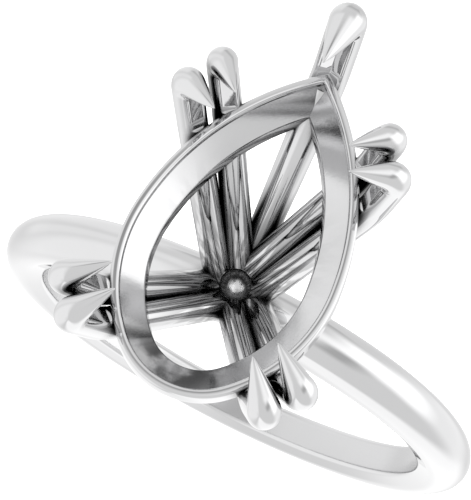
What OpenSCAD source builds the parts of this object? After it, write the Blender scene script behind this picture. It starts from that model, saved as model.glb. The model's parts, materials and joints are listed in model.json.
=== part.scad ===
// Pear engagement ring with an empty nine prong head, lying on its side.
// The ring is drawn upright: the finger runs along Y, the head stands up along Z and
// the pear points along +Y. It is then laid down on the prong at the pear's point and
// on the edge of the shank. The middle of the finger hole is the origin.

/* [Finger size] */
// Inside diameter of the shank
bore_d = 17.35; // [15.3:0.05:20.6]

/* [Shank] */
// Thickness of the shank from the finger outwards
shank_t = 1.95; // [1.8:0.05:2.3]
// Width of the shank at its widest, along the finger
shank_w = 2.0; // [1.8:0.05:2.2]
// Width of the inner face that touches the finger
shank_face_w = 1.4; // [1.2:0.05:1.6]

/* [Rim] */
// Radius of the seat's inner edge at the round end of the pear
nose_r = 1.65; // [1.4:0.05:1.9]
// Radius of the seat's inner edge at the shoulders of the pear
shoulder_r = 4.2; // [3.8:0.1:4.6]
// Radius of the seat's inner edge along the sides of the pear
side_r = 8.2; // [7.6:0.1:8.8]
// Angle at which the round end turns into the shoulders
nose_bend = 47; // [43:1:51]
// Angle at which the shoulders turn into the sides
shoulder_bend = 4; // [0:1:8]
// Place of the round end's middle along the finger
nose_y = -2.3; // [-2.5:0.05:-2.1]
// Height of the seat's inner edge above the shank
seat_rise = 4.2; // [3.9:0.1:4.5]
// Width of the sloping seat
seat_w = 0.68; // [0.65:0.01:0.75]
// Slope of the seat
seat_slope = 38; // [35:1:42]
// Width of the rounded lip around the seat
lip_w = 0.3; // [0.26:0.01:0.32]
// Height of the rim's outer wall
wall_h = 0.58; // [0.5:0.02:0.66]
// Depth of the rim's inner wall
inner_h = 0.55; // [0.45:0.05:0.65]

/* [Prongs] */
// Diameter of a claw prong
prong_d = 1.0; // [0.9:0.01:1.05]
// Diameter of the grooved prong at the point of the pear
point_d = 1.24; // [1.15:0.01:1.32]
// Height of the claw tips above the shank
claw_rise = 7.35; // [7.1:0.05:7.6]
// Level length of a claw from its crown to its tip
claw_l = 1.55; // [1.35:0.05:1.7]
// Level length of the claw at the point of the pear
point_claw_l = 2.03; // [1.85:0.01:2.2]

/* [Hub] */
// Diameter of the ball that shapes the dimple where the prongs meet
dimple_d = 1.1; // [0.9:0.05:1.3]

/* [Hidden] */
metal = [0.90, 0.90, 0.91];
$fn = 96;

shank_top = bore_d / 2 + shank_t;
back_r = shank_w / 2;
back_x = shank_top - back_r;

// Rim section, as distance outwards from the seat's inner edge and height
seat_z = shank_top + seat_rise;
seat_top = seat_z + seat_w * tan(seat_slope);
lip_h = 0.215;
lip_r = 0.11;
rim_top = seat_top + lip_h;
rim_w = seat_w + lip_w;
inner_lean = 0.08;
wall_flare = 0.04;
rim_section = concat(
    [[-inner_lean, seat_z - inner_h], [0, seat_z], [seat_w, seat_top]],
    [for (a = [180:-45:90]) [seat_w + lip_r, rim_top - lip_r] + lip_r * heading(a)],
    [for (a = [90:-45:0]) [rim_w - lip_r, rim_top - lip_r] + lip_r * heading(a)],
    [[rim_w + wall_flare, rim_top - wall_h]]
);

// Middles of the arcs on the +X side of the pear, each tangent to the one before
function heading(a) = [cos(a), sin(a)];
nose_c = [0, nose_y];
shoulder_c = nose_c + (nose_r - shoulder_r) * heading(-nose_bend);
side_c = shoulder_c + (shoulder_r - side_r) * heading(shoulder_bend);
point_y = side_c.y + sqrt(pow(side_r + rim_w, 2) - pow(side_c.x, 2));

// Levels of the prongs, and how much of each bend lies on either side of its corner
foot_z = shank_top - 0.35;
knee_z = seat_z + 0.35;
tip_z = shank_top + claw_rise;
crown_z = tip_z - 0.62;
knee_l = 0.5;
crown_l = 0.5;

// Columns of the claw table: middle of the fan that the claw belongs to, bearing from
// there and reach of the knee, the same of the crown, and place of the foot
FAN_Y = 0;
KNEE_BEARING = 1;
KNEE = 2;
CROWN_BEARING = 3;
CROWN = 4;
FOOT_X = 5;
FOOT_Y = 6;
CLAWS = [
    [1.5, 47.0, 3.58, 47.0, 4.22, -0.30, 0.00],
    [1.5, 26.7, 3.50, 29.5, 4.03, 0.35, -0.33],
    [-0.9, -34.1, 3.83, -35.5, 4.71, 0.58, 0.16],
    [-0.9, -49.5, 4.03, -49.5, 4.82, -0.20, -0.20]
];

// The prong at the point of the pear
point_foot = [0, 0, foot_z];
point_knee = [0, point_y + 0.14, knee_z - 0.1];
point_crown = [0, point_y + 1.14, crown_z];
point_tip = [0, point_crown.y - point_claw_l, tip_z - 0.15];

// Lean of the finger hole once the ring lies on the crown of that prong and on the
// round back of the shank, from the two circles that touch the table
rest_c = point_crown - 0.65 * crown_l * unit(point_crown - point_knee);
span = [rest_c.y, rest_c.z + back_x];
lean = atan2(span.x, span.y) - asin((back_r - point_d / 2) / norm(span));

function unit(v) = v / norm(v);
function bend(a, b, c, steps) =
    [for (i = [0:steps]) let (t = i / steps) pow(1 - t, 2) * a + 2 * t * (1 - t) * b + t * t * c];

// Loft a row of rings that ends in a point
module loft(rings, tip) {
    n = len(rings[0]);
    last = len(rings) - 1;
    points = concat([for (ring = rings) each ring], [tip]);
    start = [for (j = [0:n - 1]) j];
    sides = [
        for (i = [0:last - 1], j = [0:n - 1])
            let (a = i * n + j, b = i * n + (j + 1) % n)
                each [[b + n, b, a], [a + n, b + n, a]]
    ];
    end = [for (j = [0:n - 1]) [(last + 1) * n, last * n + (j + 1) % n, last * n + j]];
    polyhedron(points, concat([start], sides, end));
}

// Distance from the middle to the outline of a round section with its inner side cut
// away: cut is the distance to the deepest place of the cut, as a share of r, and
// spread is half the angle between the two sides of the cut, 90 for a flat one
function outline_at(a, r, cut, spread) =
    let (off = min(a, 360 - a))
        off >= spread ? r : min(r, cut * r * sin(spread) / sin(spread - off));
function ring_at(middle, ahead, across, r, cut, spread) =
    let (
        facets = 16,
        side = unit(across - (across * ahead) * ahead),
        inward = cross(side, ahead)
    )
        [for (i = [0:facets - 1])
            let (a = 360 * i / facets, d = outline_at(a, r, cut, spread))
                middle + d * (cos(a) * inward + sin(a) * side)];

// A prong that leaves its foot, bends upright at the knee beside the rim and bends
// over at the crown into a pointed claw, its inner side cut away between the bends
module prong(foot, knee, crown, tip, foot_r, r, cut, spread) {
    across = unit(cross([0, 0, 1], [tip.x - crown.x, tip.y - crown.y, 0]));
    leg = unit(knee - foot);
    shaft = unit(crown - knee);
    claw = unit(tip - crown);
    low = bend(knee - knee_l * leg, knee, knee + knee_l * shaft, 4);
    high = bend(crown - crown_l * shaft, crown, crown + crown_l * claw, 6);
    path = concat([foot], low, high, [(crown + crown_l * claw + tip) / 2]);
    cut_from = 4;
    cut_to = len(low) + 3;
    taper_from = len(low) + 4;
    swell = 0.8;
    last = len(path) - 1;
    taper_l = norm(tip - path[taper_from]);
    rings = [
        for (i = [0:last])
            let (
                after = i < last ? path[i + 1] : tip,
                ahead = unit(after - path[max(i - 1, 0)]),
                left = i < taper_from ? 1 : pow(norm(tip - path[i]) / taper_l, swell),
                radius = i == 0 ? foot_r : r * left,
                share = i < cut_from || i > cut_to ? 1 : cut
            )
                ring_at(path[i], ahead, across, radius, share, spread)
    ];
    loft(rings, tip);
}

module claw_prong(row) {
    flat_cut = 0.86;
    function place(bearing, reach, z) =
        let (way = heading(bearing))
            [reach * way.x, row[FAN_Y] + reach * way.y, z];
    prong(
        [row[FOOT_X], row[FOOT_Y], foot_z],
        place(row[KNEE_BEARING], row[KNEE], knee_z),
        place(row[CROWN_BEARING], row[CROWN], crown_z),
        place(row[CROWN_BEARING], row[CROWN] - claw_l, tip_z),
        prong_d / 2,
        prong_d / 2,
        flat_cut,
        90
    );
}

module claw_prongs() {
    for (row = CLAWS, side = [0, 1])
        mirror([side, 0, 0]) claw_prong(row);
}

// The larger prong that wraps the point of the pear, with a groove down its inner side
module point_prong() {
    groove_cut = 0.45;
    groove_spread = 72;
    foot_r = 0.75 * point_d / 2;
    prong(
        point_foot,
        point_knee,
        point_crown,
        point_tip,
        foot_r,
        point_d / 2,
        groove_cut,
        groove_spread
    );
}

// A point of the +X half of the pear drawn the distance out beyond the seat's inner
// edge: the way along it runs from 0 at the round end over 1 and 2 to 3 at the point
function pear(way, out) =
    let (point_bend = acos(-side_c.x / (side_r + out)))
        way < 1 ? nose_c + (nose_r + out) * heading(-90 + way * (90 - nose_bend))
        : way < 2 ? shoulder_c
            + (shoulder_r + out) * heading(-nose_bend + (way - 1) * (nose_bend + shoulder_bend))
        : side_c + (side_r + out) * heading(shoulder_bend + (way - 2) * (point_bend - shoulder_bend));

// The pear shaped ring that carries the stone on its sloping seat
module rim() {
    steps = 14;
    half = [for (i = [0:3 * steps]) i / steps];
    way_back = [for (i = [3 * steps - 1:-1:1]) i / steps];
    rings = concat(
        [for (way = half) [for (p = rim_section) let (q = pear(way, p.x)) [q.x, q.y, p.y]]],
        [for (way = way_back) [for (p = rim_section) let (q = pear(way, p.x)) [-q.x, q.y, p.y]]]
    );
    n = len(rim_section);
    count = len(rings);
    points = [for (ring = rings) each ring];
    faces = [
        for (i = [0:count - 1], j = [0:n - 1])
            let (
                next = (i + 1) % count,
                a = i * n + j,
                b = i * n + (j + 1) % n,
                c = next * n + j,
                d = next * n + (j + 1) % n
            )
                each [[d, b, a], [c, d, a]]
    ];
    polyhedron(points, faces);
}

// The round dimple in the base where the prongs run together
module dimple() {
    dimple_rise = 0.75;
    translate([0, 0, shank_top + dimple_rise]) sphere(dimple_d / 2);
}

module head() {
    rim();
    difference() {
        union() {
            claw_prongs();
            point_prong();
        }
        dimple();
    }
}

// Comfortable band: a round back on flanks that close in to the inner face
module shank() {
    face = shank_face_w / 2;
    corner = [bore_d / 2 - back_x, face];
    turn = atan2(corner.y, -corner.x) + acos(back_r / norm(corner));
    flank = [back_x - back_r * cos(turn), back_r * sin(turn)];
    rotate([90, 0, 0])
        rotate_extrude()
            difference() {
                union() {
                    translate([back_x, 0]) circle(back_r);
                    polygon([
                        [bore_d / 2, -face],
                        [flank.x, -flank.y],
                        [flank.x, flank.y],
                        [bore_d / 2, face]
                    ]);
                }
                translate([bore_d / 2 - shank_w, -shank_w]) square([shank_w, 2 * shank_w]);
            }
}

module ring() {
    color(metal)
        rotate([lean - 90, 0, 180])
            union() {
                shank();
                head();
            }
}

ring();
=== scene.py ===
"""Pear engagement ring with an empty nine prong head, lying on its side.

The ring is drawn upright, with the finger along Y, the head up along Z and the pear
pointing along +Y, and each finished piece is then laid down on the table. Lengths are
in metres. Geometry Nodes sweep the shank, the rim and the prongs by rule.
"""

import json
import math
from typing import NamedTuple

import bmesh
import bpy
from mathutils import Matrix, Vector


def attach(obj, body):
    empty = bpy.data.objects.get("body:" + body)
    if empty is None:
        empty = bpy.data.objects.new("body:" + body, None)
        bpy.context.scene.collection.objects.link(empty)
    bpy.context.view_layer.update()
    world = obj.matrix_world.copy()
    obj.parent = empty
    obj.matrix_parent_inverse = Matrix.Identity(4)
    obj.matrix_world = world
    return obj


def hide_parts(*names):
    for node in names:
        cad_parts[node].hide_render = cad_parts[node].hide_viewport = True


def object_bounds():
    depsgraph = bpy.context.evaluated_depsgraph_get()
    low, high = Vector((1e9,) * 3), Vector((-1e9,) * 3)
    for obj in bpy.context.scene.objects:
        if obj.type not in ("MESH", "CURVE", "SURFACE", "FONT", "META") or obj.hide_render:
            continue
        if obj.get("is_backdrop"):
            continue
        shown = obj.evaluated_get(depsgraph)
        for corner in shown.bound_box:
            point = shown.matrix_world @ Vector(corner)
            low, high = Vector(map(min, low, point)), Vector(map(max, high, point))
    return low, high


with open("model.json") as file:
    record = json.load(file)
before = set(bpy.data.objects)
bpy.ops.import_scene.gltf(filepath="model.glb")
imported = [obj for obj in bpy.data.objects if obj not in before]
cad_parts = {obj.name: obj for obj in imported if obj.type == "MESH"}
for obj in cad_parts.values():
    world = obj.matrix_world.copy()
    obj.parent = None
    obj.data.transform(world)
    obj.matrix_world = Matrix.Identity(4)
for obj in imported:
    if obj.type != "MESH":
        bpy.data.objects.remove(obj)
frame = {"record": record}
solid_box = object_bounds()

bl_info = {
    "name": "Pear Ring Mount",
    "version": (1, 0, 0),
    "blender": (4, 5, 0),
    "location": "3D View > Sidebar > Ring",
    "description": "Builds a pear-shaped ring mount with nine prongs and an empty seat",
    "category": "Add Mesh",
}

MM = 0.001
BODY = "root"
NODE = "ring"
SLOT = "white_metal"
SATIN = "satin"
# Mask for the painted shade on the rim's inner wall
INNER_WALL_SHADE = "inner_wall_shade"
MOUNTS = {mount["name"]: mount for mount in frame["record"]["mounts"]}
BORE_RADIUS_MM = MOUNTS["finger_hole"]["dims"]["r_mm"]
TABLE_Z = solid_box[0][2]
TABLE_WIDTH = 2.0
LAMP_HEIGHT = 0.3
LAMP_WIDTH = 0.5
SEAM = 0.1e-3 * MM
CREASE = math.radians(32)
FILLET_STEPS = 6
DIMPLE_STEPS = 128

# How much more satin the shank's inner face is than the seat
INSIDE_SATIN = 3.0

# A prong's way runs from 0 at its foot to 5 at its tip, with its knee and its crown at
# 1.5 and 3.5, and this is where its flat or its groove begins and ends
FLAT_START = 1.6
GROOVE_START = 1.08
CUT_END = 3.5
GROOVE_SPREAD = math.radians(72)
POINT_FOOT_SHARE = 0.75
CLAW_BLUNTNESS = 0.8

# How far back along its bend the point prong touches the table
RESTING_SHARE = 0.65


class Claw(NamedTuple):
    """Where one claw prong of the +X half stands, in millimetres and degrees.

    Its knee and crown are each given by a bearing and a reach from the middle of its fan.
    """

    fan: float
    foot: tuple
    knee: tuple
    crown: tuple


CLAWS = (
    Claw(fan=1.5, foot=(-0.3, 0), knee=(47, 3.58), crown=(47, 4.22)),
    Claw(fan=1.5, foot=(0.35, -0.33), knee=(26.7, 3.5), crown=(29.5, 4.03)),
    Claw(fan=-0.9, foot=(0.58, 0.16), knee=(-34.1, 3.83), crown=(-35.5, 4.71)),
    Claw(fan=-0.9, foot=(-0.2, -0.2), knee=(-49.5, 4.03), crown=(-49.5, 4.82)),
)


class Screen(NamedTuple):
    """One soft-edged screen of the studio, in degrees round the ring, and how bright it is."""

    azimuth: float
    elevation: float
    half_width: float
    half_height: float
    softness: float
    light: float


SCREENS = (
    Screen(azimuth=95, elevation=42, half_width=62, half_height=40, softness=16, light=1.25),
    Screen(azimuth=75, elevation=-14, half_width=48, half_height=11, softness=8, light=1.15),
    Screen(azimuth=105, elevation=-50, half_width=52, half_height=17, softness=12, light=1.15),
    Screen(azimuth=-110, elevation=-26, half_width=28, half_height=30, softness=12, light=1.25),
    Screen(azimuth=-28, elevation=0, half_width=22, half_height=22, softness=14, light=1.4),
    Screen(azimuth=-68, elevation=-20, half_width=26, half_height=26, softness=12, light=1.75),
    Screen(azimuth=-157, elevation=34, half_width=23, half_height=46, softness=10, light=1.42),
    Screen(azimuth=168, elevation=-7, half_width=15, half_height=24, softness=10, light=1.22),
    Screen(azimuth=-46, elevation=20, half_width=12, half_height=16, softness=10, light=0.6),
    Screen(azimuth=15, elevation=0, half_width=10, half_height=6, softness=5, light=0.45),
    Screen(azimuth=171, elevation=-35, half_width=28, half_height=15, softness=10, light=0.95),
    Screen(azimuth=0, elevation=-67, half_width=60, half_height=8, softness=8, light=0.7),
)


# Node trees


class Wire:
    """A socket that takes part in Python sums: each operator adds a Math node."""

    def __init__(self, net, socket):
        self.net = net
        self.socket = socket

    def __add__(self, other):
        return self.net.maths("ADD", self, other)

    def __radd__(self, other):
        return self.net.maths("ADD", other, self)

    def __sub__(self, other):
        return self.net.maths("SUBTRACT", self, other)

    def __rsub__(self, other):
        return self.net.maths("SUBTRACT", other, self)

    def __mul__(self, other):
        return self.net.maths("MULTIPLY", self, other)

    def __rmul__(self, other):
        return self.net.maths("MULTIPLY", other, self)

    def __truediv__(self, other):
        return self.net.maths("DIVIDE", self, other)

    def __rtruediv__(self, other):
        return self.net.maths("DIVIDE", other, self)

    def __neg__(self):
        return self.net.maths("MULTIPLY", self, -1.0)


class Net:
    """A node tree that is written down as Python calls."""

    def __init__(self, tree):
        self.tree = tree

    def node(self, kind, settings=(), sockets=(), out=0):
        """Add a node, set it up, fill or link its sockets and hand back one output."""
        made = self.tree.nodes.new(kind)
        settings = dict(settings)
        items = settings.pop("items", 0)
        for key, value in settings.items():
            setattr(made, key, value)
        for _ in range(items - 2):
            made.index_switch_items.new()
        for key, value in dict(sockets).items():
            socket = made.inputs[key]
            for part in value if isinstance(value, list) else [value]:
                if isinstance(part, Wire):
                    self.tree.links.new(part.socket, socket)
                else:
                    socket.default_value = part
        return Wire(self, made.outputs[out]) if len(made.outputs) else made

    def maths(self, operation, *values):
        """Work out numbers with a Math node, and vectors with a Vector Math node."""
        flat = any(
            not isinstance(v, (Wire, int, float))
            or isinstance(v, Wire) and v.socket.type in {"VECTOR", "RGBA"}
            for v in values
        )
        if flat:
            values = [(v, v, v) if isinstance(v, (int, float)) else v for v in values]
        kind = "ShaderNodeVectorMath" if flat else "ShaderNodeMath"
        out = "Value" if operation in {"LENGTH", "DISTANCE", "DOT_PRODUCT"} or not flat else 0
        return self.node(kind, {"operation": operation}, dict(enumerate(values)), out)

    def pick(self, index, values):
        """Choose one of several numbers or vectors by an index."""
        wide = not isinstance(values[0], (int, float)) and (
            not isinstance(values[0], Wire) or values[0].socket.type == "VECTOR"
        )
        settings = {"data_type": "VECTOR" if wide else "FLOAT", "items": len(values)}
        sockets = {0: index, **{i + 1: value for i, value in enumerate(values)}}
        return self.node("GeometryNodeIndexSwitch", settings, sockets)

    def vector(self, x, y, z):
        """Join three numbers into a vector."""
        return self.node("ShaderNodeCombineXYZ", (), {"X": x, "Y": y, "Z": z})

    def parts(self, vector):
        """Take a vector apart into its three numbers."""
        outputs = self.node("ShaderNodeSeparateXYZ", (), {0: vector}).socket.node.outputs
        return [Wire(self, outputs[axis]) for axis in "XYZ"]

    def clamped(self, value):
        """Keep a number between 0 and 1."""
        return self.node("ShaderNodeClamp", (), {"Value": value})


def geometry_net(name, inputs):
    """Start a Geometry Nodes tree with named inputs, and hand back their wires too."""
    net = Net(bpy.data.node_groups.new(name, "GeometryNodeTree"))
    net.tree.interface.new_socket("Geometry", in_out="OUTPUT", socket_type="NodeSocketGeometry")
    for label, kind in inputs.items():
        net.tree.interface.new_socket(label, in_out="INPUT", socket_type="NodeSocket" + kind)
    source = net.tree.nodes.new("NodeGroupInput")
    return net, [Wire(net, source.outputs[label]) for label in inputs]


def hand_out(net, geometry):
    """End a tree with the geometry that it makes."""
    target = net.tree.nodes.new("NodeGroupOutput")
    net.tree.links.new(geometry.socket, target.inputs["Geometry"])
    return net.tree


def capture(net, geometry, kind, value):
    """Keep a number or vector of each point, for use after the points have moved."""
    made = net.tree.nodes.new("GeometryNodeCaptureAttribute")
    made.domain = "POINT"
    made.capture_items.new(kind, "Value")
    net.tree.links.new(geometry.socket, made.inputs["Geometry"])
    net.tree.links.new(value.socket, made.inputs[1])
    return Wire(net, made.outputs["Geometry"]), Wire(net, made.outputs[1])


def marked(net, mesh, name, value):
    """Store a number on each point of a mesh, for the metal to read."""
    return net.node(
        "GeometryNodeStoreNamedAttribute",
        {"data_type": "FLOAT", "domain": "POINT"},
        {"Geometry": mesh, "Name": name, "Value": value},
    )


def closed(net, mesh):
    """Close the seams and poles of a swept skin."""
    return net.node("GeometryNodeMergeByDistance", (), {"Geometry": mesh, "Distance": SEAM})


def polish_off(net, mesh, material):
    """Close a mesh, smooth what is round, keep creases sharp and set the metal."""
    mesh = closed(net, mesh)
    fold = net.node("GeometryNodeInputMeshEdgeAngle", (), (), "Unsigned Angle")
    sharp = net.node("FunctionNodeCompare", {"operation": "GREATER_THAN"}, {0: fold, 1: CREASE})
    mesh = net.node("GeometryNodeSetShadeSmooth", {"domain": "FACE"}, {"Geometry": mesh, 2: True})
    mesh = net.node(
        "GeometryNodeSetShadeSmooth", {"domain": "EDGE"}, {"Geometry": mesh, 1: sharp, 2: False}
    )
    mesh = net.node("GeometryNodeRealizeInstances", (), {"Geometry": mesh})
    return net.node("GeometryNodeSetMaterial", (), {"Geometry": mesh, "Material": material})


def bent(a, b, c, t):
    """A bend from a to c that heads for b at both ends."""
    rest = 1 - t
    return rest * rest * a + 2 * rest * t * b + t * t * c


def rounded(net, steps):
    """A closed round of points, with the angle of each one."""
    ring = net.node("GeometryNodeCurvePrimitiveCircle", (), {"Resolution": steps, "Radius": MM})
    angle = net.node("GeometryNodeInputIndex") * math.tau / steps
    return capture(net, ring, "FLOAT", angle)


def swept(net, rail, section, place, caps=False):
    """A skin of one section for each point of the rail, moved to where the rule puts it."""
    sockets = {"Curve": rail, "Profile Curve": section, "Fill Caps": caps}
    skin = net.node("GeometryNodeCurveToMesh", (), sockets)
    return net.node("GeometryNodeSetPosition", (), {"Geometry": skin, "Position": place})


def shank_tree():
    """Sweep the comfort section of the band round the finger hole."""
    net, (bore, thickness, width, face, edge, steps, section_steps, metal) = geometry_net(
        "Shank",
        {
            "Bore Radius": "Float",
            "Thickness": "Float",
            "Width": "Float",
            "Inner Face": "Float",
            "Edge Rounding": "Float",
            "Steps Round Finger": "Int",
            "Steps Round Section": "Int",
            "Metal": "Material",
        },
    )
    rail, turn = rounded(net, steps)
    section, angle = rounded(net, section_steps)
    back = width / 2
    middle = bore + thickness - back
    depth = middle - bore
    corner = net.maths("ARCTAN2", face / 2, depth)
    reach = net.maths("SQRT", depth * depth + face * face / 4)
    leaves = math.pi - corner - net.maths("ARCCOSINE", back / reach)
    fold = net.maths("MINIMUM", angle, math.tau - angle)
    flank = back / net.maths("COSINE", net.maths("MAXIMUM", fold - leaves, 0.0))
    flat = depth / net.maths("MAXIMUM", -net.maths("COSINE", fold), 0.01)
    out = net.maths("SMOOTH_MIN", flank, flat, edge)
    radius = middle + out * net.maths("COSINE", angle)
    place = net.vector(
        radius * net.maths("COSINE", turn),
        out * net.maths("SINE", angle),
        radius * net.maths("SINE", turn),
    )
    inside = net.clamped(0.5 + (flank - flat) / edge)
    skin = marked(net, swept(net, rail, section, place), SATIN, INSIDE_SATIN * inside)
    return hand_out(net, polish_off(net, skin, metal))


def rim_tree():
    """Carry the seat's section round the pear, which three arcs a side draw."""
    net, wires = geometry_net(
        "Pear Rim",
        {
            "Round End Radius": "Float",
            "Shoulder Radius": "Float",
            "Side Radius": "Float",
            "Round End Bend": "Float",
            "Shoulder Bend": "Float",
            "Round End Place": "Float",
            "Seat Height": "Float",
            "Seat Width": "Float",
            "Seat Rise": "Float",
            "Lip Width": "Float",
            "Lip Height": "Float",
            "Lip Rounding": "Float",
            "Bevel Width": "Float",
            "Bevel Depth": "Float",
            "Inner Wall Lean": "Float",
            "Inner Wall Depth": "Float",
            "Outer Wall Flare": "Float",
            "Outer Wall Height": "Float",
            "Edge Rounding": "Float",
            "Steps": "Int",
            "Metal": "Material",
        },
    )
    nose_r, shoulder_r, side_r, nose_bend, shoulder_bend, nose_y = wires[:6]
    seat_z, seat_w, seat_rise, lip_w, lip_h, lip_r, bevel_w, bevel_h = wires[6:14]
    lean, inner_h, flare, outer_h, edge, steps, metal = wires[14:]

    top = seat_z + seat_rise + lip_h
    rim_w = seat_w + lip_w
    corners = [
        (-lean, seat_z - inner_h, edge),
        (-bevel_w, seat_z - bevel_h, edge),
        (0.0, seat_z, edge / 2),
        (seat_w, seat_z + seat_rise, edge / 4),
        (seat_w, top, lip_r),
        (rim_w, top, lip_r),
        (rim_w + flare, top - outer_h, edge),
    ]
    outline = net.node(
        "GeometryNodeCurvePrimitiveCircle", (), {"Resolution": len(corners), "Radius": MM}
    )
    index = net.node("GeometryNodeInputIndex")
    place = net.pick(index, [net.vector(x, y, 0.0) for x, y, _ in corners])
    section = net.node("GeometryNodeSetPosition", (), {"Geometry": outline, "Position": place})
    rounding = net.pick(index, [radius for _, _, radius in corners])
    section = net.node(
        "GeometryNodeFilletCurve",
        {"mode": "POLY"},
        {"Curve": section, "Count": FILLET_STEPS, "Radius": rounding, "Limit Radius": True},
    )
    section, corner = capture(net, section, "VECTOR", net.node("GeometryNodeInputPosition"))
    out, height, _ = net.parts(corner)

    rail = net.node("GeometryNodeCurvePrimitiveCircle", (), {"Resolution": steps * 6, "Radius": MM})
    along = net.node("GeometryNodeInputIndex") / steps - 3.0
    rail, along = capture(net, rail, "FLOAT", along)
    way = net.maths("ABSOLUTE", along)
    hand = net.maths("SIGN", along)
    stretch = net.maths("FLOOR", net.maths("MINIMUM", way, 2.999))
    part = way - stretch

    nose_turn = math.pi / 2 - nose_bend
    shoulder_x = (nose_r - shoulder_r) * net.maths("COSINE", nose_bend)
    shoulder_y = nose_y - (nose_r - shoulder_r) * net.maths("SINE", nose_bend)
    side_x = shoulder_x + (shoulder_r - side_r) * net.maths("COSINE", shoulder_bend)
    side_y = shoulder_y + (shoulder_r - side_r) * net.maths("SINE", shoulder_bend)
    point_bend = net.maths("ARCCOSINE", -side_x / (side_r + out))
    angle = net.pick(
        stretch,
        [
            part * nose_turn - math.pi / 2,
            part * (nose_bend + shoulder_bend) - nose_bend,
            part * (point_bend - shoulder_bend) + shoulder_bend,
        ],
    )
    radius = out + net.pick(stretch, [nose_r, shoulder_r, side_r])
    x = radius * net.maths("COSINE", angle) + net.pick(stretch, [nose_r * 0.0, shoulder_x, side_x])
    y = radius * net.maths("SINE", angle) + net.pick(stretch, [nose_y, shoulder_y, side_y])
    place = net.vector(hand * x, y, height)
    skin = swept(net, rail, section, place)
    inner = net.maths("GREATER_THAN", out, -edge)
    outer = net.maths("LESS_THAN", out, seat_w + edge / 4)
    low = net.maths("LESS_THAN", height, seat_z + seat_rise + edge)
    skin = marked(net, skin, SATIN, inner * outer * low)
    # Mask for the painted shade on the rim's inner wall, darkest at its foot
    within = net.maths("LESS_THAN", out, -edge)
    skin = marked(net, skin, INNER_WALL_SHADE, within * net.clamped(0.6 + (seat_z - height) / inner_h))
    return hand_out(net, polish_off(net, skin, metal))


def prong_tree():
    """Grow one prong from the hub over its knee and crown to the tip of its claw."""
    net, wires = geometry_net(
        "Prong",
        {
            "Foot": "Vector",
            "Knee": "Vector",
            "Crown": "Vector",
            "Tip": "Vector",
            "Foot Radius": "Float",
            "Radius": "Float",
            "Cut Share": "Float",
            "Cut Spread": "Float",
            "Cut Start": "Float",
            "Bend Length": "Float",
            "Steps Along": "Int",
            "Steps Around": "Int",
        },
    )
    foot, knee, crown, tip, foot_r, full_r, kept, spread, start, bend_l, steps, facets = wires

    leg = net.maths("NORMALIZE", knee - foot)
    shaft = net.maths("NORMALIZE", crown - knee)
    claw = net.maths("NORMALIZE", tip - crown)
    low_a, low_b = knee - bend_l * leg, knee + bend_l * shaft
    high_a, high_b = crown - bend_l * shaft, crown + bend_l * claw
    starts = [foot, low_a, low_b, high_a, high_b]
    turns = [(foot + low_a) / 2, knee, (low_b + high_a) / 2, crown, (high_b + tip) / 2]
    ends = [low_a, low_b, high_a, high_b, tip]

    rail = net.node("GeometryNodeCurvePrimitiveLine", (), {"End": (0.0, 0.0, MM)})
    rail = net.node("GeometryNodeResampleCurve", (), {"Curve": rail, "Count": steps + 1})
    way = net.node("GeometryNodeInputIndex") * len(starts) / steps
    stretch = net.maths("FLOOR", net.maths("MINIMUM", way, len(starts) - 0.001))
    path = bent(
        net.pick(stretch, starts),
        net.pick(stretch, turns),
        net.pick(stretch, ends),
        way - stretch,
    )
    rail, way = capture(net, rail, "FLOAT", way)
    rail = net.node("GeometryNodeSetPosition", (), {"Geometry": rail, "Position": path})
    rail, middle = capture(net, rail, "VECTOR", net.node("GeometryNodeInputPosition"))
    rail, ahead = capture(net, rail, "VECTOR", net.node("GeometryNodeInputTangent"))
    section, angle = rounded(net, facets)

    level = (tip - crown) * net.vector(1.0, 1.0, 0.0)
    across = net.maths("NORMALIZE", net.maths("CROSS_PRODUCT", (0.0, 0.0, 1.0), level))
    side = net.maths("NORMALIZE", across - net.maths("DOT_PRODUCT", across, ahead) * ahead)
    inward = net.maths("CROSS_PRODUCT", side, ahead)

    swell = net.maths("MINIMUM", way, 1.0)
    crown_middle = bent(high_a, crown, high_b, 0.5)
    taper = net.maths("DISTANCE", middle, tip) / net.maths("DISTANCE", crown_middle, tip)
    taper = net.maths("SMOOTH_MIN", net.maths("POWER", taper, CLAW_BLUNTNESS), 1.0, 0.12)
    radius = (foot_r + (full_r - foot_r) * swell) * taper
    cut_in = net.clamped((way - start) * 8.0) * net.clamped((CUT_END - way) * 2.0)
    depth = 1.0 + (kept - 1.0) * cut_in
    off = net.maths("MINIMUM", angle, math.tau - angle)
    slant = net.maths("SINE", net.maths("MAXIMUM", spread - off, 0.001))
    cut = depth * radius * net.maths("SINE", spread) / slant
    out = net.maths("SMOOTH_MIN", cut, radius, 0.06 * radius * cut_in)
    place = middle + out * (
        net.maths("COSINE", angle) * inward + net.maths("SINE", angle) * side
    )
    return hand_out(net, closed(net, swept(net, rail, section, place, caps=True)))


def joined(net, operation, **parts):
    """Unite closed shells, or cut one from the other."""
    sockets = {name.replace("_", " ").title(): value for name, value in parts.items()}
    settings = {"operation": operation, "solver": "MANIFOLD"}
    return net.node("GeometryNodeMeshBoolean", settings, sockets)


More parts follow.
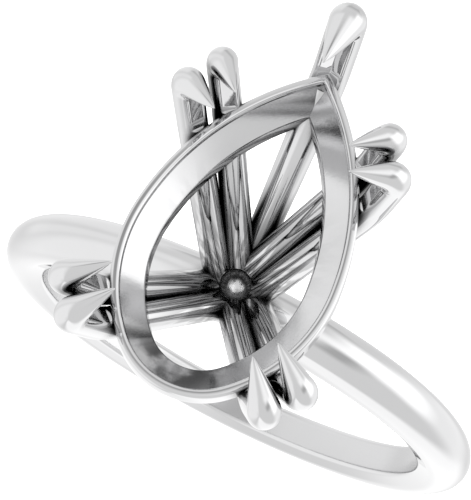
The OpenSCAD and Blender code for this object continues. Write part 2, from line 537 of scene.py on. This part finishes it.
def prongs_tree(prong):
    """Unite the claw prongs, their mirror images and the point prong, and sink the dimple."""
    net, wires = geometry_net(
        "Prongs",
        {
            "Foot Height": "Float",
            "Knee Height": "Float",
            "Crown Height": "Float",
            "Tip Height": "Float",
            "Claw Length": "Float",
            "Radius": "Float",
            "Flat Share": "Float",
            "Bend Length": "Float",
            "Point Foot": "Vector",
            "Point Knee": "Vector",
            "Point Crown": "Vector",
            "Point Tip": "Vector",
            "Point Radius": "Float",
            "Groove Share": "Float",
            "Dimple Radius": "Float",
            "Dimple Height": "Float",
            "Steps Along": "Int",
            "Steps Around": "Int",
            "Metal": "Material",
        },
    )
    foot_z, knee_z, crown_z, tip_z, claw_l, radius, flat, bend_l = wires[:8]
    foot, knee, crown, tip, point_r, groove, dimple_r, dimple_z = wires[8:16]
    steps, facets, metal = wires[16:]
    shared = {"Bend Length": bend_l, "Steps Along": steps, "Steps Around": facets}

    def fanned(claw, corner, z, back=0.0):
        """Place a corner of a claw prong in its fan, drawn back towards the middle."""
        way, reach = math.radians(corner[0]), corner[1] * MM - back
        return net.vector(reach * math.cos(way), reach * math.sin(way) + claw.fan * MM, z)

    half = []
    for claw in CLAWS:
        corners = {
            "Foot": net.vector(claw.foot[0] * MM, claw.foot[1] * MM, foot_z),
            "Knee": fanned(claw, claw.knee, knee_z),
            "Crown": fanned(claw, claw.crown, crown_z),
            "Tip": fanned(claw, claw.crown, tip_z, back=claw_l),
        }
        cut = {
            "Foot Radius": radius,
            "Radius": radius,
            "Cut Share": flat,
            "Cut Spread": math.pi / 2,
            "Cut Start": FLAT_START,
        }
        sockets = {**corners, **cut, **shared}
        half.append(net.node("GeometryNodeGroup", {"node_tree": prong}, sockets))
    others = []
    for claw in half:
        mirrored = net.node("GeometryNodeInputPosition") * net.vector(-1.0, 1.0, 1.0)
        other = net.node("GeometryNodeSetPosition", (), {"Geometry": claw, "Position": mirrored})
        others.append(net.node("GeometryNodeFlipFaces", (), {"Mesh": other}))
    corners = {"Foot": foot, "Knee": knee, "Crown": crown, "Tip": tip}
    cut = {
        "Foot Radius": POINT_FOOT_SHARE * point_r,
        "Radius": point_r,
        "Cut Share": groove,
        "Cut Spread": GROOVE_SPREAD,
        "Cut Start": GROOVE_START,
    }
    sockets = {**corners, **cut, **shared}
    point = net.node("GeometryNodeGroup", {"node_tree": prong}, sockets)
    ball = net.node(
        "GeometryNodeMeshUVSphere",
        (),
        {"Segments": DIMPLE_STEPS, "Rings": DIMPLE_STEPS // 2, "Radius": dimple_r},
    )
    ball = net.node(
        "GeometryNodeTransform",
        (),
        {"Geometry": ball, "Translation": net.vector(0.0, 0.0, dimple_z)},
    )
    prongs = joined(net, "UNION", mesh_2=[*half, *others, point])
    prongs = joined(net, "DIFFERENCE", mesh_1=prongs, mesh_2=ball)
    return hand_out(net, polish_off(net, prongs, metal))


# Sizes and looks


def length(name, description, millimetres):
    """A length that a user may change, given in millimetres and kept in metres."""
    return bpy.props.FloatProperty(
        name=name,
        description=description,
        default=millimetres * MM,
        min=0.0,
        unit="LENGTH",
        precision=5,
    )


def degrees(name, description, value):
    """An angle that a user may change, given in degrees."""
    return bpy.props.FloatProperty(
        name=name, description=description, default=math.radians(value), subtype="ANGLE"
    )


def share(name, description, value):
    """A share from 0 to 1 that a user may change."""
    return bpy.props.FloatProperty(
        name=name,
        description=description,
        default=value,
        min=0.0,
        max=1.0,
        subtype="FACTOR",
        precision=3,
    )


class RingSizes(bpy.types.PropertyGroup):
    """Sizes of the finger hole, the shank, the rim and the prongs."""

    bore_radius: length("Finger Hole", "Radius of the finger hole", BORE_RADIUS_MM)
    shank_thickness: length("Shank Thickness", "Thickness from the finger outwards", 1.95)
    shank_width: length("Shank Width", "Greatest width along the finger", 2.0)
    shank_face: length("Inner Face", "Width of the face that touches the finger", 1.4)
    shank_edge: length("Shank Edges", "Rounding of the shank's two inner edges", 0.24)
    nose_radius: length("Round End", "Seat's inner radius at the round end", 1.65)
    shoulder_radius: length("Shoulders", "Seat's inner radius at the shoulders", 4.2)
    side_radius: length("Sides", "Seat's inner radius along the sides", 8.2)
    nose_bend: degrees("Round End Bend", "Where the round end turns into the shoulders", 47)
    shoulder_bend: degrees("Shoulder Bend", "Where the shoulders turn into the sides", 4)
    nose_back: length("Round End Place", "How far back the round end has its middle", 2.3)
    seat_rise: length("Seat Height", "Height of the seat above the shank", 4.2)
    seat_width: length("Seat Width", "Width of the sloping seat", 0.68)
    seat_slope: degrees("Seat Slope", "Slope of the seat", 38)
    lip_width: length("Lip", "Width of the rounded lip round the seat", 0.3)
    lip_height: length("Lip Height", "Height of the lip above the seat", 0.215)
    lip_rounding: length("Lip Rounding", "Radius of the lip's two shoulders", 0.11)
    bevel_width: length("Bevel", "Width of the bevel inside the seat", 0.03)
    bevel_depth: length("Bevel Depth", "Depth of the bevel inside the seat", 0.05)
    inner_lean: length("Inner Wall Lean", "How far the inner wall leans in", 0.08)
    inner_depth: length("Inner Wall", "Depth of the inner wall below the seat", 0.55)
    outer_height: length("Outer Wall", "Height of the rim's outer wall", 0.58)
    outer_flare: length("Outer Wall Flare", "How far the outer wall leans out", 0.04)
    rim_edge: length("Rim Edges", "Rounding of the rim's other edges", 0.035)
    prong_radius: length("Prong", "Radius of a claw prong", 0.5)
    flat_share: share("Flats", "Distance out to a prong's flat, as a share of its radius", 0.86)
    point_radius: length("Point Prong", "Radius of the prong at the pear's point", 0.62)
    groove_share: share("Groove", "Distance out to the groove, as a share of its radius", 0.45)
    foot_sink: length("Prong Feet", "How far the prongs reach down into the shank", 0.35)
    knee_rise: length("Knees", "Height of the claw prongs' knees above the seat", 0.35)
    point_knee_rise: length("Point Knee", "Height of the point prong's knee above the seat", 0.25)
    point_knee_out: length("Point Knee Place", "How far the point prong's knee stands out", 0.14)
    point_crown_out: length("Point Crown", "How far the point prong's crown stands out", 1.14)
    point_tip_drop: length("Point Tip", "How far the point claw's tip lies below the rest", 0.15)
    crown_drop: length("Crowns", "How far the crowns' corners lie below the claw tips", 0.62)
    claw_rise: length("Claw Height", "Height of the claw tips above the shank", 7.35)
    claw_length: length("Claw", "Level length of a claw", 1.55)
    point_claw_length: length("Point Claw", "Level length of the claw at the point", 2.03)
    bend_length: length("Bend", "Length of a prong's bend either side of its corner", 0.5)
    dimple_radius: length("Dimple", "Radius of the ball that shapes the hub's dimple", 0.55)
    dimple_rise: length("Dimple Height", "Height of that ball above the shank", 0.75)

    @property
    def shank_top(self):
        return self.bore_radius + self.shank_thickness

    @property
    def seat_z(self):
        return self.shank_top + self.seat_rise

    @property
    def foot_z(self):
        return self.shank_top - self.foot_sink

    @property
    def tip_z(self):
        return self.shank_top + self.claw_rise

    @property
    def crown_z(self):
        return self.tip_z - self.crown_drop

    @property
    def dimple_z(self):
        return self.shank_top + self.dimple_rise

    @property
    def point_y(self):
        """Where the rim's outer wall meets the mirror plane at the pear's point."""
        shoulder = self.nose_radius - self.shoulder_radius
        side = self.shoulder_radius - self.side_radius
        x = shoulder * math.cos(self.nose_bend) + side * math.cos(self.shoulder_bend)
        y = side * math.sin(self.shoulder_bend) - shoulder * math.sin(self.nose_bend)
        reach = self.side_radius + self.seat_width + self.lip_width
        return y - self.nose_back + math.sqrt(reach**2 - x**2)

    def point_prong(self):
        """Corners of the path that the prong at the pear's point follows."""
        knee_y = self.point_y + self.point_knee_out
        crown_y = self.point_y + self.point_crown_out
        tip_z = self.tip_z - self.point_tip_drop
        return {
            "Foot": Vector((0, 0, self.foot_z)),
            "Knee": Vector((0, knee_y, self.seat_z + self.point_knee_rise)),
            "Crown": Vector((0, crown_y, self.crown_z)),
            "Tip": Vector((0, crown_y - self.point_claw_length, tip_z)),
        }

    def laid_down(self):
        """Turn the upright ring onto its point prong and the round back of its shank."""
        corners = self.point_prong()
        shaft = (corners["Crown"] - corners["Knee"]).normalized()
        resting = corners["Crown"] - RESTING_SHARE * self.bend_length * shaft
        back = self.shank_width / 2
        rise = resting.z + self.shank_top - back
        reach = math.hypot(resting.y, rise)
        lean = math.atan2(resting.y, rise) - math.asin((back - self.point_radius) / reach)
        tilt = Matrix.Rotation(lean - math.pi / 2, 4, "X")
        return Matrix.Rotation(math.pi, 4, "Z") @ tilt

    def spot(self, y, z):
        """Where a point of the upright ring's mirror plane comes to lie."""
        return self.laid_down() @ Vector((0, y, z))


class MetalFinish(bpy.types.PropertyGroup):
    """Colour and polish of the white metal, and the painted shade and painted dark reflections in
    its colour.
    """

    colour: bpy.props.FloatVectorProperty(
        name="Metal Colour",
        description="Colour that the polished metal reflects",
        default=(0.64, 0.64, 0.645),
        min=0.0,
        max=1.0,
        subtype="COLOR",
    )
    polish: share("Polish", "Roughness of the polished metal", 0.035)
    satin: share("Seat Polish", "How much rougher the sloping seat is than the rest", 0.06)
    swirl: length("Polishing Swirls", "Spacing of the faint polishing marks", 0.12)
    burr: bpy.props.FloatProperty(
        name="Burr Marks",
        description="Height of the marks that the burr leaves in the dimple, in millimetres",
        default=0.006,
        min=0.0,
        max=0.1,
        precision=4,
    )
    # Painted shade in recesses: how near metal must be to darken the colour, and how dark it gets
    recess_reach: length("Recess Reach", "How near metal must be to darken a recess", 0.8)
    recess_shade: share("Recesses", "How dark the metal is in its deepest recesses", 0.88)
    # Strength of the painted shade on the rim's inner wall
    wall_shade: share("Inner Wall", "How much darker the rim's inner wall is", 0.86)
    # Strength of the painted dark reflections that streak out from the hub
    streaks: share("Streaks", "How dark the streaks are that run out from the hub", 0.55)
    # Strength of the painted dark reflections on the seat's round end
    painted_reflection: share("Painted Seat Reflections", "How dark the painted reflection marks on the seat's round end are", 0.82)


class StudioSettings(bpy.types.PropertyGroup):
    """Camera, table and lights."""

    azimuth: degrees("Azimuth", "Turn of the camera round the ring", -8.779)
    elevation: degrees("Elevation", "Height of the camera above the table", 31.176)
    roll: degrees("Roll", "Turn of the camera about its own view", -149.669)
    distance: length("Distance", "Distance from the camera to its aim", 52.1)
    lens: bpy.props.FloatProperty(
        name="Lens", description="Focal length of the camera", default=89.05, unit="CAMERA"
    )
    aim: bpy.props.FloatVectorProperty(
        name="Aim",
        description="Point that the camera aims at",
        default=(1.9245 * MM, -2.4604 * MM, -3.535 * MM),
        subtype="XYZ",
        unit="LENGTH",
        precision=5,
    )
    table_colour: bpy.props.FloatVectorProperty(
        name="Table Colour",
        description="Colour of the plain table",
        default=(0.93, 0.93, 0.93),
        min=0.0,
        max=1.0,
        subtype="COLOR",
    )
    light: bpy.props.FloatProperty(
        name="Studio Light", description="Brightness between the screens", default=0.95, min=0.0
    )
    table_light: bpy.props.FloatProperty(
        name="Table Light",
        description="Power of the lamp over the table, which the metal doesn't show",
        default=2.2,
        min=0.0,
        unit="POWER",
    )


# Materials


def shader_net(material):
    """Empty a material's tree and hand it back with its shader."""
    material.use_nodes = True
    net = Net(material.node_tree)
    net.tree.nodes.clear()
    target = net.tree.nodes.new("ShaderNodeOutputMaterial")
    shader = net.tree.nodes.new("ShaderNodeBsdfPrincipled")
    net.tree.links.new(shader.outputs["BSDF"], target.inputs["Surface"])
    return net, shader


def feed(net, shader, name, wire):
    """Link a wire to one of the shader's sockets."""
    net.tree.links.new(wire.socket, shader.inputs[name])


def eased(net, value, start, end, before, after):
    """Go smoothly from one number to another while the value runs from start to end."""
    return net.node(
        "ShaderNodeMapRange",
        {"interpolation_type": "SMOOTHSTEP"},
        {
            "Value": value,
            "From Min": start,
            "From Max": end,
            "To Min": before,
            "To Max": after,
        },
    )


def near(net, place, point, start, end):
    """Fade from 1 within the first distance of a point, in millimetres, to 0 at the second."""
    apart = net.maths("DISTANCE", place, tuple(point))
    return eased(net, apart, start * MM, end * MM, 1.0, 0.0)


def noise(net, place, scale, detail, distortion=0.0):
    """Cloudy noise from 0 to 1, with its scale per metre of the place."""
    sockets = {"Vector": place, "Scale": scale, "Detail": detail, "Distortion": distortion}
    return net.node("ShaderNodeTexNoise", {"noise_dimensions": "3D"}, sockets)


def stored(net, name):
    """Read a number that a piece's mesh keeps on its points."""
    return net.node("ShaderNodeAttribute", {"attribute_name": name}, (), "Fac")


def recess_light(net, finish, sizes, place):
    """How open the metal is, from 0 in a deep recess to 1, which sets how much painted shade
    darkens its colour.

    The groove of the point prong and the metal next to the table count as open.
    """
    reach = {"Distance": finish.recess_reach}
    open_sky = net.node("ShaderNodeAmbientOcclusion", {"samples": 8}, reach, "AO")
    light = eased(net, open_sky, 0.3, 0.9, 0.0, 1.0)
    groove = sizes.spot(sizes.point_y + 0.5 * MM, sizes.shank_top + 5.5 * MM)
    light = net.maths("MAXIMUM", light, near(net, place, groove, 0.9, 1.5))
    raised = net.parts(place)[2] - TABLE_Z
    return net.maths("MAXIMUM", light, eased(net, raised, 0.4 * MM, 1.0 * MM, 1.0, 0.0))


def hub_shade(net, finish, sizes, place, hub):
    """Paint shade round the hub, and painted dark reflections in streaks that run out from it along
    the prongs.
    """
    foot = sizes.spot(0, sizes.shank_top)
    up = (hub - foot).normalized()
    from_foot = place - tuple(foot)
    # Painted dark reflections in streaks running out from the hub along the prongs
    streaks = noise(net, net.maths("NORMALIZE", from_foot), 12.0, 3.0)
    streaks = eased(net, streaks, 0.42, 0.58, 1.0, 0.0) * near(net, place, hub, 0.6, 5.5)
    above = net.maths("DOT_PRODUCT", from_foot, tuple(up))
    streaks = streaks * eased(net, above, 0.0, 0.4 * MM, 0.0, 1.0)
    # Painted shade that deepens towards the hub
    gather = eased(net, net.maths("DISTANCE", place, tuple(hub)), 0.5 * MM, 1.6 * MM, 0.65, 1.0)
    return (1 - finish.streaks * streaks) * gather


def painted_seat_reflection(net, sizes, place):
    """Painted dark reflections on the round end of the seat, 1 where they are darkest."""
    nose = sizes.spot(-sizes.nose_back - sizes.nose_radius, sizes.seat_z)
    painted_reflection = eased(net, noise(net, place, 800.0, 4.0), 0.45, 0.66, 1.0, 0.0)
    return painted_reflection * near(net, place, nose, 0.7, 2.3)


def white_metal(finish, sizes):
    """Mirror-polished white metal with the faint marks that the polishing mop leaves.

    Its colour carries painted shade in recesses, round the hub and on the rim's inner wall, and
    painted dark reflections along the prongs and on the seat's round end.
    """
    material = bpy.data.materials.get(SLOT) or bpy.data.materials.new(SLOT)
    net, shader = shader_net(material)
    place = net.node("ShaderNodeTexCoord", (), (), "Object")
    hub = sizes.spot(0, sizes.dimple_z)
    bottom = sizes.spot(0, sizes.dimple_z - sizes.dimple_radius)
    satin = stored(net, SATIN)

    # Painted shade: the colour darkens in recesses, where ambient occlusion finds metal nearby
    light = recess_light(net, finish, sizes, place)
    shade = 1 - finish.recess_shade + finish.recess_shade * light
    # Painted shade round the hub and painted dark streak reflections along the prongs
    shade = shade * hub_shade(net, finish, sizes, place, hub)
    # The dimple's core is kept out of the painted shade, so it stays bright
    shade = net.maths("MAXIMUM", shade, near(net, place, bottom, 0.24, 0.46))
    # Painted shade on the rim's inner wall
    shade = shade * (1 - finish.wall_shade * stored(net, INNER_WALL_SHADE))
    # Painted dark reflections on the seat's round end
    shade = shade * (1 - finish.painted_reflection * painted_seat_reflection(net, sizes, place) * satin)
    cloud = noise(net, place, 0.1 / finish.swirl, 1.0)
    colour = net.node(
        "ShaderNodeVectorMath",
        {"operation": "SCALE"},
        {0: tuple(finish.colour), "Scale": (0.985 + 0.03 * cloud) * shade},
    )
    feed(net, shader, "Base Color", colour)

    marks = noise(net, place, 1 / finish.swirl, 3.0, distortion=0.6)
    feed(net, shader, "Roughness", finish.polish * (0.6 + 0.8 * marks) + finish.satin * satin)
    shader.inputs["Metallic"].default_value = 1.0

    dimple = sizes.dimple_radius / MM
    drilled = near(net, place, hub, dimple, 1.04 * dimple)
    burr = noise(net, place, 3 / finish.swirl, 1.0)
    height = 0.0004 * marks + finish.burr * burr * drilled
    bump = net.node("ShaderNodeBump", {}, {"Strength": 1.0, "Distance": MM, "Height": height})
    feed(net, shader, "Normal", bump)
    return material


def table_paper(studio):
    """Smooth pale paper with a grain too fine to see from the camera."""
    material = bpy.data.materials.new("table_paper")
    net, shader = shader_net(material)
    place = net.node("ShaderNodeTexCoord", (), (), "Object")
    grain = noise(net, place, 900.0, 2.0)
    colour = net.node(
        "ShaderNodeVectorMath",
        {"operation": "SCALE"},
        {0: tuple(studio.table_colour), "Scale": 0.99 + 0.02 * grain},
    )
    feed(net, shader, "Base Color", colour)
    shader.inputs["Roughness"].default_value = 0.9
    shader.inputs["Specular IOR Level"].default_value = 0.1
    return material


def soft_edge(net, offset, half, softness):
    """Fade from 1 inside a screen's half width or height to 0 outside, all in degrees."""
    start, end = math.radians(half - softness), math.radians(half + softness)
    return eased(net, net.maths("ABSOLUTE", offset), start, end, 1.0, 0.0)


# Pieces


def grown(name, tree, inputs, sizes):
    """Run a tree, keep its result as a plain mesh and lay that down with the ring."""
    seed = bpy.data.objects.new(name + "_seed", bpy.data.meshes.new(name + "_seed"))
    bpy.context.scene.collection.objects.link(seed)
    modifier = seed.modifiers.new("Sweep", "NODES")
    modifier.node_group = tree
    for item in tree.interface.items_tree:
        if item.in_out == "INPUT":
            modifier[item.identifier] = inputs[item.name]
    graph = bpy.context.evaluated_depsgraph_get()
    mesh = bpy.data.meshes.new_from_object(seed.evaluated_get(graph))
    blank = seed.data
    bpy.data.objects.remove(seed)
    bpy.data.meshes.remove(blank)
    if len(mesh.polygons) == 0:
        raise RuntimeError(f"the tree for {name} made no faces")

    mesh.name = name
    mesh.transform(sizes.laid_down())
    shell = bmesh.new()
    shell.from_mesh(mesh)
    bmesh.ops.recalc_face_normals(shell, faces=shell.faces)
    shell.to_mesh(mesh)
    shell.free()
    piece = bpy.data.objects.new(name, mesh)
    bpy.context.scene.collection.objects.link(piece)
    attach(piece, BODY)
    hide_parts(NODE)
    return piece


class RING_OT_shank(bpy.types.Operator):
    """Sweep the plain comfort band of the ring"""

    bl_idname = "ring.shank"
    bl_label = "Shank"

    def execute(self, context):
        sizes = context.scene.ring_sizes
        inputs = {
            "Bore Radius": sizes.bore_radius,
            "Thickness": sizes.shank_thickness,
            "Width": sizes.shank_width,
            "Inner Face": sizes.shank_face,
            "Edge Rounding": sizes.shank_edge,
            "Steps Round Finger": 360,
            "Steps Round Section": 216,
            "Metal": white_metal(context.scene.metal_finish, sizes),
        }
        grown("shank", shank_tree(), inputs, sizes)
        return {"FINISHED"}


class RING_OT_rim(bpy.types.Operator):
    """Sweep the pear-shaped rim with its sloping seat"""

    bl_idname = "ring.rim"
    bl_label = "Pear Rim"

    def execute(self, context):
        sizes = context.scene.ring_sizes
        inputs = {
            "Round End Radius": sizes.nose_radius,
            "Shoulder Radius": sizes.shoulder_radius,
            "Side Radius": sizes.side_radius,
            "Round End Bend": sizes.nose_bend,
            "Shoulder Bend": sizes.shoulder_bend,
            "Round End Place": -sizes.nose_back,
            "Seat Height": sizes.seat_z,
            "Seat Width": sizes.seat_width,
            "Seat Rise": sizes.seat_width * math.tan(sizes.seat_slope),
            "Lip Width": sizes.lip_width,
            "Lip Height": sizes.lip_height,
            "Lip Rounding": sizes.lip_rounding,
            "Bevel Width": sizes.bevel_width,
            "Bevel Depth": sizes.bevel_depth,
            "Inner Wall Lean": sizes.inner_lean,
            "Inner Wall Depth": sizes.inner_depth,
            "Outer Wall Flare": sizes.outer_flare,
            "Outer Wall Height": sizes.outer_height,
            "Edge Rounding": sizes.rim_edge,
            "Steps": 64,
            "Metal": white_metal(context.scene.metal_finish, sizes),
        }
        grown("pear_rim", rim_tree(), inputs, sizes)
        return {"FINISHED"}


class RING_OT_prongs(bpy.types.Operator):
    """Grow the claw prongs and the point prong, and sink the dimple where they meet"""

    bl_idname = "ring.prongs"
    bl_label = "Prongs"

    def execute(self, context):
        sizes = context.scene.ring_sizes
        point = {f"Point {corner}": place for corner, place in sizes.point_prong().items()}
        inputs = {
            "Foot Height": sizes.foot_z,
            "Knee Height": sizes.seat_z + sizes.knee_rise,
            "Crown Height": sizes.crown_z,
            "Tip Height": sizes.tip_z,
            "Claw Length": sizes.claw_length,
            "Radius": sizes.prong_radius,
            "Flat Share": sizes.flat_share,
            "Bend Length": sizes.bend_length,
            **point,
            "Point Radius": sizes.point_radius,
            "Groove Share": sizes.groove_share,
            "Dimple Radius": sizes.dimple_radius,
            "Dimple Height": sizes.dimple_z,
            "Steps Along": 120,
            "Steps Around": 72,
            "Metal": white_metal(context.scene.metal_finish, sizes),
        }
        grown("prongs", prongs_tree(prong_tree()), inputs, sizes)
        return {"FINISHED"}


class RING_OT_studio(bpy.types.Operator):
    """Set up the table, the lights and the camera"""

    bl_idname = "ring.studio"
    bl_label = "Studio"

    def execute(self, context):
        studio = context.scene.studio
        self.lay_table(context, studio)
        self.set_lights(context, studio)
        self.set_camera(context, studio)
        context.scene.view_settings.view_transform = "Standard"
        return {"FINISHED"}

    def lay_table(self, context, studio):
        low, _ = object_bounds()
        half = TABLE_WIDTH / 2
        mesh = bpy.data.meshes.new("table")
        corners = [(-half, -half), (half, -half), (half, half), (-half, half)]
        mesh.from_pydata([(x, y, low.z) for x, y in corners], [], [(0, 1, 2, 3)])
        mesh.materials.append(table_paper(studio))
        table = bpy.data.objects.new("table", mesh)
        table.visible_glossy = False
        context.scene.collection.objects.link(table)
        table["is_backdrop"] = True

    def set_lights(self, context, studio):
        world = bpy.data.worlds.new("studio")
        context.scene.world = world
        world.use_nodes = True
        net = Net(world.node_tree)
        net.tree.nodes.clear()
        target = net.tree.nodes.new("ShaderNodeOutputWorld")
        x, y, z = net.parts(net.node("ShaderNodeTexCoord", (), (), "Generated"))
        azimuth = net.maths("ARCTAN2", x, -y)
        elevation = net.maths("ARCSINE", z)
        light = studio.light
        for screen in SCREENS:
            apart = net.maths("WRAP", azimuth - math.radians(screen.azimuth), math.pi, -math.pi)
            above = elevation - math.radians(screen.elevation)
            inside = soft_edge(net, apart, screen.half_width, screen.softness) * soft_edge(
                net, above, screen.half_height, screen.softness
            )
            light = light + inside * (screen.light - light)
        sky = net.node("ShaderNodeBackground", {}, {"Color": light})
        net.tree.links.new(sky.socket, target.inputs["Surface"])

        lamp = bpy.data.lights.new("table_lamp", "AREA")
        lamp.shape = "DISK"
        lamp.size = LAMP_WIDTH
        lamp.energy = studio.table_light
        holder = bpy.data.objects.new("table_lamp", lamp)
        holder.location = (0, 0, LAMP_HEIGHT)
        holder.visible_glossy = False
        lamp.use_shadow = False
        context.scene.collection.objects.link(holder)

    def set_camera(self, context, studio):
        data = bpy.data.cameras.new("camera")
        data.lens = studio.lens
        data.clip_start = MM
        data.clip_end = 10.0
        camera = bpy.data.objects.new("camera", data)
        context.scene.collection.objects.link(camera)
        level = math.cos(studio.elevation)
        back = Vector(
            (
                math.sin(studio.azimuth) * level,
                -math.cos(studio.azimuth) * level,
                math.sin(studio.elevation),
            )
        )
        upright = (-back).to_track_quat("-Z", "Y")
        camera.rotation_mode = "QUATERNION"
        camera.rotation_quaternion = upright @ Matrix.Rotation(studio.roll, 3, "Z").to_quaternion()
        camera.location = Vector(studio.aim) + back * studio.distance
        context.scene.camera = camera


class RING_PT_panel(bpy.types.Panel):
    """Lists the steps that build the ring"""

    bl_idname = "RING_PT_panel"
    bl_label = "Pear Ring Mount"
    bl_space_type = "VIEW_3D"
    bl_region_type = "UI"
    bl_category = "Ring"

    def draw(self, context):
        for name, group in GROUPS.items():
            box = self.layout.box()
            settings = getattr(context.scene, name)
            for label in group.__annotations__:
                box.prop(settings, label)
        for step in STEPS:
            self.layout.operator(step.bl_idname)


GROUPS = {"ring_sizes": RingSizes, "metal_finish": MetalFinish, "studio": StudioSettings}
STEPS = (
    RING_OT_shank,
    RING_OT_rim,
    RING_OT_prongs,
    RING_OT_studio,
)


def register():
    for part in (*GROUPS.values(), *STEPS, RING_PT_panel):
        bpy.utils.register_class(part)
    for name, group in GROUPS.items():
        setattr(bpy.types.Scene, name, bpy.props.PointerProperty(type=group))


def unregister():
    for name in GROUPS:
        delattr(bpy.types.Scene, name)
    for part in reversed((*GROUPS.values(), *STEPS, RING_PT_panel)):
        bpy.utils.unregister_class(part)


def main():
    """Build the ring and its studio."""
    register()
    bpy.ops.ring.shank()
    bpy.ops.ring.rim()
    bpy.ops.ring.prongs()
    bpy.ops.ring.studio()


if __name__ == "__main__":
    main()
